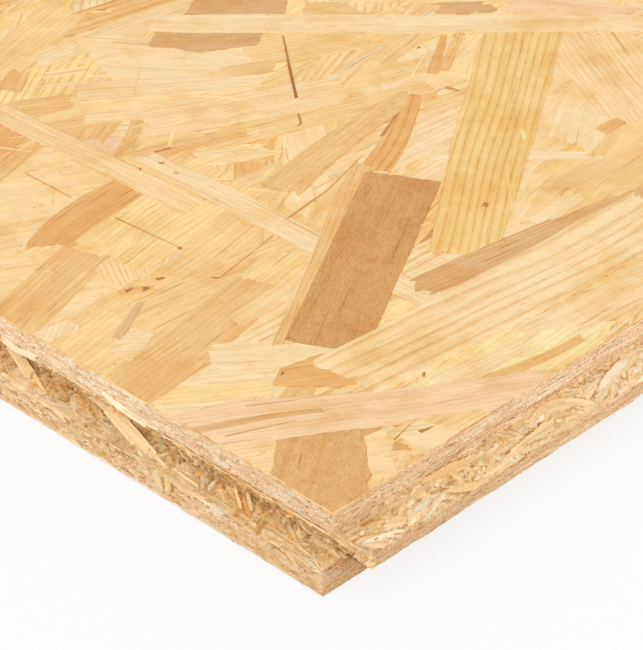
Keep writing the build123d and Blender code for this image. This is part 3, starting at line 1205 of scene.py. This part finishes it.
def dimmed_tone(rng, names, least):
    """One of the named tones, dimmed by chance down to a least share of its light."""
    return TONES[names[rng.integers(len(names))]] * rng.uniform(least, 1.0)


def pile_flakes(rng, u, vs, families, growth):
    """The surface of many flakes piled on each other, over a grid along an edge and up its profile: at each
    point the height, and the grain and tone of the topmost flake there. u has where each point lies along
    the edge."""
    v = np.broadcast_to(vs[:, None], u.shape)
    leftmost, rightmost = u.max(0), u.min(0)
    height = np.full(u.shape, FLAKE_FLOOR)
    grain = np.dstack((u, v, np.zeros(u.shape)))
    tone = np.tile(TONES["cut"], (*u.shape, 1))
    for family in families:
        low, high = family.reach
        for number in range(int(family.count * (high - low) * TEAR_REACH)):
            centre = (rng.uniform(0, TEAR_REACH), rng.uniform(low, high))
            size = 0.85 + growth * centre[0] / TEAR_REACH
            length = rng.uniform(*family.length) * size
            half = rng.uniform(*family.width) / 2 * size
            aim = math.radians(rng.normal(*family.aim))
            level = rng.normal(*family.level)
            tilt = rng.normal(*family.tilt)
            roll = rng.normal(0, 0.11)
            curve, phase = rng.normal(0, 0.25) / length, rng.uniform(0, 6, 2)
            pace = (rng.uniform(1.5, 5), rng.uniform(0.5, 1.6), rng.gamma(2, 0.03) * length ** 0.7)
            shade = dimmed_tone(rng, family.tones, 0.86)
            columns = slice(np.searchsorted(leftmost, centre[0] - length),
                            np.searchsorted(rightmost, centre[0] + length))
            rows = slice(*np.searchsorted(vs, (centre[1] - length, centre[1] + length)))
            aside, above = u[rows, columns] - centre[0], v[rows, columns] - centre[1]
            along = aside * math.cos(aim) + above * math.sin(aim)
            across = above * math.cos(aim) - aside * math.sin(aim) - curve * along ** 2
            ripple = pace[0] * across
            tear = (np.sin(ripple + phase[0]) + np.sin(2.3 * pace[0] * across + phase[1])) * pace[2]
            share = 2 * (along + tear) / length
            waver = np.sin(pace[1] * along + phase[1]) + np.sin(2.7 * pace[1] * along + phase[0])
            edge = half * (1.05 - np.abs(share) ** 3 * 0.7) + min(0.06 * half, 0.07) * waver
            top = level + tilt * along + roll * across
            top = top - 0.03 * (across / half) ** 2 - 0.05 * np.abs(share) ** 3
            wins = (np.abs(across) < edge) & (np.abs(share) < 1) & (top > height[rows, columns])
            height[rows, columns][wins] = top[wins]
            values = np.dstack((along, across, np.full(along.shape, rng.uniform(0, MOST_SEED))))
            grain[rows, columns][wins] = values[wins]
            tone[rows, columns][wins] = shade
    return height, grain, tone


# How far under its surroundings a point has to lie to get painted shade, and how much further down that
# painted shade is full
CLEFT_START = 0.07
CLEFT_FULL = 0.33


def cleft_shades(height, reach, full):
    """How deep each point of a grid of heights lies under what is close around it, from 0 to 1: its painted
    shade.
    """
    highest = height.copy()
    for number in range(reach):
        wide = np.pad(highest, 1, mode="edge")
        around = (wide[:-2, 1:-1], wide[2:, 1:-1], wide[1:-1, :-2], wide[1:-1, 2:])
        highest = np.max([highest, *around], axis=0)
    return np.clip((highest - height - CLEFT_START) / full, 0, 1)


def torn_skin(pile, rng, kind, start, along, outward):
    """Adds one edge's torn surface near the photographed corner: a closed sheet, its back in the board."""
    vs, spots, normals = walk(TORN_PATHS[kind], TEAR_STEP)
    us = np.arange(0, TEAR_REACH, TEAR_STEP)
    if kind == "tongue":
        ends = np.array([inset_at("groove", height) + END_GAP for height in spots[:, 1]])
    else:
        ends = np.where(spots[:, 1] < NOSE_BOTTOM, TONGUE_LENGTH, 0.0) + END_GAP
    travel = ends[:, None] + us[None, :] * (1 - ends[:, None] / TEAR_REACH)
    height, grain, tone = pile_flakes(rng, travel, vs, FLAKES[kind], 0.8 if kind == "tongue" else 0.2)
    full = np.full(len(vs), CLEFT_FULL)
    if kind == "groove":
        beyond = travel - TONGUE_LENGTH
        on_lip = (spots[:, 1] < NOSE_BOTTOM)[:, None]
        calm = np.where(on_lip, np.clip(beyond / 3, 0.3, 1), np.clip(beyond / 5, 0.75, 1))
        # Painted light and shade: the higher flakes drawn lighter and the lower ones darker
        tone = tone * (0.93 + 0.12 * np.clip(height, 0, 1))[:, :, None]
        height = height * calm
        tone = TONES["cream"] + (tone - TONES["cream"]) * calm[:, :, None]
        full = np.interp(vs, (5.5, 8.0), (0.4, 1.8))
    cleft = cleft_shades(height, 3 if kind == "groove" else 2, full[:, None])
    near_end = np.minimum(us - us[0], us[-1] - us)[None, :]
    near_side = np.minimum(vs, vs[-1] - vs)[:, None]
    fade = np.clip(np.minimum(near_end, near_side) / FADE_WIDTH, 0, 1)
    height = (height + TEAR_DEPTH) * fade - TEAR_DEPTH
    rows, columns = height.shape
    base = start + travel[:, :, None] * along + spots[:, None, :1] * outward + spots[:, None, 1:] * UP
    facing = (normals[:, :1] * outward + normals[:, 1:] * UP)[:, None, :]
    front = base + height[:, :, None] * facing
    kept = np.append(np.arange(0, rows - 1, BACK_ROWS), rows - 1)
    back = (base - BACK_DEPTH * facing)[kept]
    grid = np.arange(rows * columns).reshape(rows, columns)
    backing = rows * columns + np.arange(len(kept) * columns).reshape(len(kept), columns)
    handed = np.dot(np.cross(along, UP), outward) > 0

    def ordered(face):
        face = tuple(int(corner) for corner in face)
        return face if handed else face[::-1]

    faces, backs = [], []
    for row in range(rows - 1):
        for column in range(columns - 1):
            faces.append(ordered((*grid[row, column:column + 2], *grid[row + 1, column:column + 2][::-1])))
    for column in range(columns - 1):
        for row in range(len(kept) - 1):
            pair = backing[row:row + 2, column:column + 2]
            backs.append(ordered((*pair[0][::-1], *pair[1])))
        backs.append(ordered((*grid[0, column:column + 2][::-1], *backing[0, column:column + 2])))
        backs.append(ordered((*grid[-1, column:column + 2], *backing[-1, column:column + 2][::-1])))
    for row, (low, high) in enumerate(zip(kept, kept[1:])):
        backs.append(ordered((*grid[low:high + 1, -1][::-1], *backing[row:row + 2, -1])))
        backs.append(ordered((*grid[low:high + 1, 0], *backing[row:row + 2, 0][::-1])))
    points = np.concatenate((front.reshape(-1, 3), back.reshape(-1, 3)))
    source = np.concatenate((grid.ravel(), grid[kept].ravel()))
    flat = np.stack(np.meshgrid(us, vs), axis=2).reshape(-1, 2)
    pile.add(points, faces, backs, flat[source], NEAR_DENSITY, tone.reshape(-1, 3)[source],
             grain=grain.reshape(-1, 3)[source], figure=TORN, cleft=cleft.ravel()[source])


BLADE_DENSITY = 1.5


def add_blade(pile, rng, middle, normal, width, tone, tip):
    """Adds a thin bent blade along a line of points. tip is the share of its width left at its end."""
    count = len(middle)
    shares = np.interp(np.linspace(0, 1, count), (0, 0.7, 1), (1, 0.9, tip)) * rng.uniform(0.8, 1.15, count)
    heading = np.gradient(middle, axis=0)
    side = np.cross(normal, heading)
    side = side / np.linalg.norm(side, axis=1, keepdims=True)
    half = (width * shares / 2)[:, None]
    thickness = min(0.35, width * 0.25) + 0.04
    left, right = middle + half * side, middle - half * side
    sections = np.stack((left, right, right - thickness * normal, left - thickness * normal), axis=1)
    travel = np.concatenate(([0], np.cumsum(np.linalg.norm(np.diff(middle, axis=0), axis=1))))
    flat = np.column_stack((np.repeat(travel, 4), (half * np.array((1, -1, -1, 1))).ravel()))
    faces = [(0, 1, 2, 3)] + [(b, a, d, c) for a, b, c, d in ring_faces(count, 4)]
    last = 4 * count - 4
    faces.append((last + 3, last + 2, last + 1, last))
    grain = np.column_stack((flat, np.full(len(flat), rng.uniform(0, MOST_SEED))))
    pile.add(sections.reshape(-1, 3), faces, [], flat, BLADE_DENSITY, tone, grain=grain, figure=TORN)


def place_bundles(pile, rng, kind, start, along, outward):
    """Adds the bundles of fibres that the photograph shows one by one, each as strips side by side."""
    facing = BUNDLE_FACING[0] * outward + BUNDLE_FACING[1] * UP
    for tone, width, *stations in BUNDLES[kind]:
        shares = np.linspace(0, len(stations) - 1, BUNDLE_POINTS)
        stations = np.array(stations)
        travel, inset, height = (
            soften(np.interp(shares, range(len(stations)), stations[:, axis]), 2) for axis in range(3))
        middle = start + travel[:, None] * along - inset[:, None] * outward + height[:, None] * UP
        side = np.cross(facing, middle[-1] - middle[0])
        side = side / np.linalg.norm(side)
        strips = max(1, round(width / STRIP_WIDTH))
        for number in range(strips):
            aside = ((number + 0.5) / strips - 0.5) * width + soften(rng.normal(0, 0.12, BUNDLE_POINTS), 2)
            first, last = rng.integers(0, 2), BUNDLE_POINTS - rng.integers(0, 3)
            strip = middle + aside[:, None] * side + rng.uniform(-0.15, 0.0) * facing
            add_blade(pile, rng, strip[first:last], facing, rng.uniform(1.2, 1.9) * STRIP_WIDTH,
                      TONES[tone] * rng.uniform(0.93, 1.0), 0.7)


def add_splinter(pile, rng, family, spread, start, along, outward, ends):
    """Adds one random splinter of a family, somewhere along a stretch of an edge."""
    places, spots, normals = spread
    place = rng.uniform(*family.reach)
    out, height = (np.interp(place, places, spots[:, axis]) for axis in (0, 1))
    out_share, up_share = (np.interp(place, places, normals[:, axis]) for axis in (0, 1))
    facing = out_share * outward + up_share * UP
    facing = facing / np.linalg.norm(facing)
    low = max(ends[0][0], inset_at(ends[0][1], height) + 0.3, TONGUE_LENGTH + 1)
    high = min(ends[1][0], ends[1][2] - inset_at(ends[1][1], height))
    travel = rng.uniform(low, high)
    aim = math.radians(rng.normal(*family.aim)) + math.pi * rng.integers(2)
    lift = math.radians(rng.normal(*family.lift))
    reach = rng.uniform(*family.length)
    width = rng.uniform(*family.width)
    level = math.cos(aim) * along + math.sin(aim) * np.cross(along, facing)
    heading = math.cos(lift) * level + math.sin(lift) * facing
    normal = math.cos(lift) * facing - math.sin(lift) * level
    root = start + travel * along + out * outward + height * UP + rng.uniform(0.0, 0.3) * facing
    stations = np.linspace(-0.4, 0.6, 5) * reach
    curl, swing = rng.normal(0.03, 0.05) / reach ** 0.5, rng.normal(0, 0.12) / reach ** 0.5
    middle = root + stations[:, None] * heading + (curl * stations ** 2)[:, None] * normal
    middle = middle + (swing * stations ** 2)[:, None] * np.cross(normal, heading)
    tone = dimmed_tone(rng, family.tones, 0.92)
    add_blade(pile, rng, middle, normal, width, tone, rng.uniform(0.35, 0.95))


def tear_edges(rng, material):
    """Covers the milled edges with torn wood, thickly where the camera is close."""
    size = (PANEL_HIGH - PANEL_LOW)[:2]
    for name, corner, along, outward, kind, start_kind, end_kind in EDGES:
        pile = Pile()
        start = np.array((*(PANEL_LOW[:2] + np.array(corner) * size), 0.0))
        length = float(abs(np.array(along) @ size))
        along, outward = np.array((*along, 0.0)), np.array((*outward, 0.0))
        spans = [(0.0, length, FAR_SHARE)]
        if corner == (0, 0):
            torn_skin(pile, rng, kind, start, along, outward)
            place_bundles(pile, rng, kind, start, along, outward)
            spans = [(0.0, TEAR_REACH, 1.0), (TEAR_REACH, length, FAR_SHARE)]
        spread = walk(TORN_PATHS[kind], TEAR_STEP)
        for family in SPLINTERS[kind]:
            for first, last, share in spans:
                for number in range(int((last - first) * family.count * share)):
                    ends = ((first, start_kind), (last, end_kind, length))
                    add_splinter(pile, rng, family, spread, start, along, outward, ends)
        pile.make(name, material)


# The table: half its side, how far it lies under the panel, and the share of its light that is its own glow
TABLE_REACH = 6.0
TABLE_DROP = 0.00003
TABLE_GLOW = 0.8


def pale_floor():
    """A white table top. The camera sees it nearly white, and it keeps the panel's shadow."""
    mesh = bpy.data.meshes.new("floor")
    signs = ((-1, -1), (1, -1), (1, 1), (-1, 1))
    corners = [(x * TABLE_REACH, y * TABLE_REACH, -TABLE_DROP) for x, y in signs]
    mesh.from_pydata(corners, [], [(0, 1, 2, 3)])
    table = Shading("white_table")
    path = add_node(table.tree, "ShaderNodeLightPath").outputs
    seen = table.math("MAXIMUM", path["Is Camera Ray"], path["Is Glossy Ray"])
    matt = add_node(table.tree, "ShaderNodeBsdfDiffuse", None, Color=tint(0.88, 0.88, 0.88)).outputs[0]
    glow = add_node(table.tree, "ShaderNodeEmission", None, Color=tint(1, 1, 1), Strength=1.0).outputs[0]
    share = table.times(seen, TABLE_GLOW)
    both = add_node(table.tree, "ShaderNodeMixShader", None, i0=share, i1=matt, i2=glow).outputs[0]
    output = add_node(table.tree, "ShaderNodeOutputMaterial")
    table.tree.links.new(both, output.inputs[0])
    mesh.materials.append(table.material)
    add_object("floor", mesh)


# The tent's light on the panel and as the camera sees it, and the sun's strength, width and direction
TENT_LIGHT = 0.72
TENT_SEEN = 1.0
SUN_ENERGY = 1.6
SUN_WIDTH = math.radians(50)
SUN_DIRECTION = Vector((1.0, 0.85, -1.0))


def light_scene():
    """A white tent: even light from all around and a soft sun from above."""
    world = bpy.data.worlds.new("tent")
    world.use_nodes = True
    tree = world.node_tree
    tree.nodes.clear()
    path = add_node(tree, "ShaderNodeLightPath").outputs
    values = {"i0": path["Is Camera Ray"], "i3": TENT_LIGHT, "i4": TENT_SEEN}
    strength = add_node(tree, "ShaderNodeMapRange", None, **values)
    back = add_node(tree, "ShaderNodeBackground", None, Color=tint(1, 1, 1), Strength=strength.outputs[0])
    output = add_node(tree, "ShaderNodeOutputWorld")
    tree.links.new(back.outputs[0], output.inputs[0])
    bpy.context.scene.world = world

    sun = bpy.data.lights.new("soft_sun", "SUN")
    sun.energy = SUN_ENERGY
    sun.angle = SUN_WIDTH
    add_object("soft_sun", sun).rotation_euler = SUN_DIRECTION.to_track_quat("-Z", "Y").to_euler()


# The camera, fitted to the photographed corner: its bearing and tilt, how far the corner of the top face
# lies from it along its line of sight, how large things are there, and where the corner is in the picture
PICTURE = (643, 650)
AZIMUTH = math.radians(-45.745)
ELEVATION = math.radians(34.417)
DISTANCE = 727.8
PIXELS_PER_MM = 4.673
CORNER_PIXEL = (333.0, 511.7)
SENSOR = 36.0
NEAREST_SEEN = 0.01
FURTHEST_SEEN = 50


def place_camera():
    """The photograph's camera."""
    level = math.cos(ELEVATION)
    back = Vector((math.sin(AZIMUTH) * level, -math.cos(AZIMUTH) * level, math.sin(ELEVATION)))
    right = Vector((math.cos(AZIMUTH), math.sin(AZIMUTH), 0))
    up = back.cross(right)
    corner = Vector((*TOP_LOW, THICKNESS))
    aside = (CORNER_PIXEL[0] - PICTURE[0] / 2) / PIXELS_PER_MM
    above = (PICTURE[1] / 2 - CORNER_PIXEL[1]) / PIXELS_PER_MM
    spot = (corner + back * DISTANCE - right * aside - up * above) * MM
    data = bpy.data.cameras.new("camera")
    data.sensor_width = SENSOR
    data.lens = SENSOR * PIXELS_PER_MM * DISTANCE / max(PICTURE)
    data.clip_start = NEAREST_SEEN
    data.clip_end = FURTHEST_SEEN
    made = add_object("camera", data)
    made.matrix_world = Matrix(((right.x, up.x, back.x, spot.x), (right.y, up.y, back.y, spot.y),
                                (right.z, up.z, back.z, spot.z), (0, 0, 0, 1)))
    bpy.context.scene.camera = made


TOP_STRIPS = 8
UNDER_STRIPS = 4


def make_all(piles, name, material):
    """Makes the object of each pile."""
    for number, pile in enumerate(piles):
        pile.make(f"{name}_{number + 1}", material)


def main():
    """Builds the scene. The order of the calls sets the order of the random draws."""
    place_camera()
    pale_floor()
    light_scene()
    panel_body()
    strand_wood = strand_material()
    rng = np.random.default_rng(SEED)
    top = [Pile() for number in range(TOP_STRIPS)]
    lay_base(top, np.random.default_rng(SEED + 2), TOP_LOW, TOP_HIGH)
    scatter_strands(top, rng, TOP_LOW, TOP_HIGH, TOP_CELL, skip=TOP_LOW + NEAR_REACH)
    scatter_close(top, rng, *CLOSE_BROAD)
    scatter_close(top, rng, *CLOSE_NARROW)
    place_strands(top, rng)
    scatter_close(top, rng, *CLOSE_SHREDS)
    place_marks(top, rng)
    make_all(top, "top_strands", strand_wood)
    tear_edges(np.random.default_rng(SEED + 1), strand_wood)
    under = [Pile() for number in range(UNDER_STRIPS)]
    lay_base(under, np.random.default_rng(SEED + 3), UNDER_LOW, UNDER_HIGH, top=False)
    scatter_strands(under, rng, UNDER_LOW, UNDER_HIGH, UNDER_CELL, top=False)
    make_all(under, "under_strands", strand_wood)


main()
bpy.context.scene.view_settings.view_transform = "Standard"
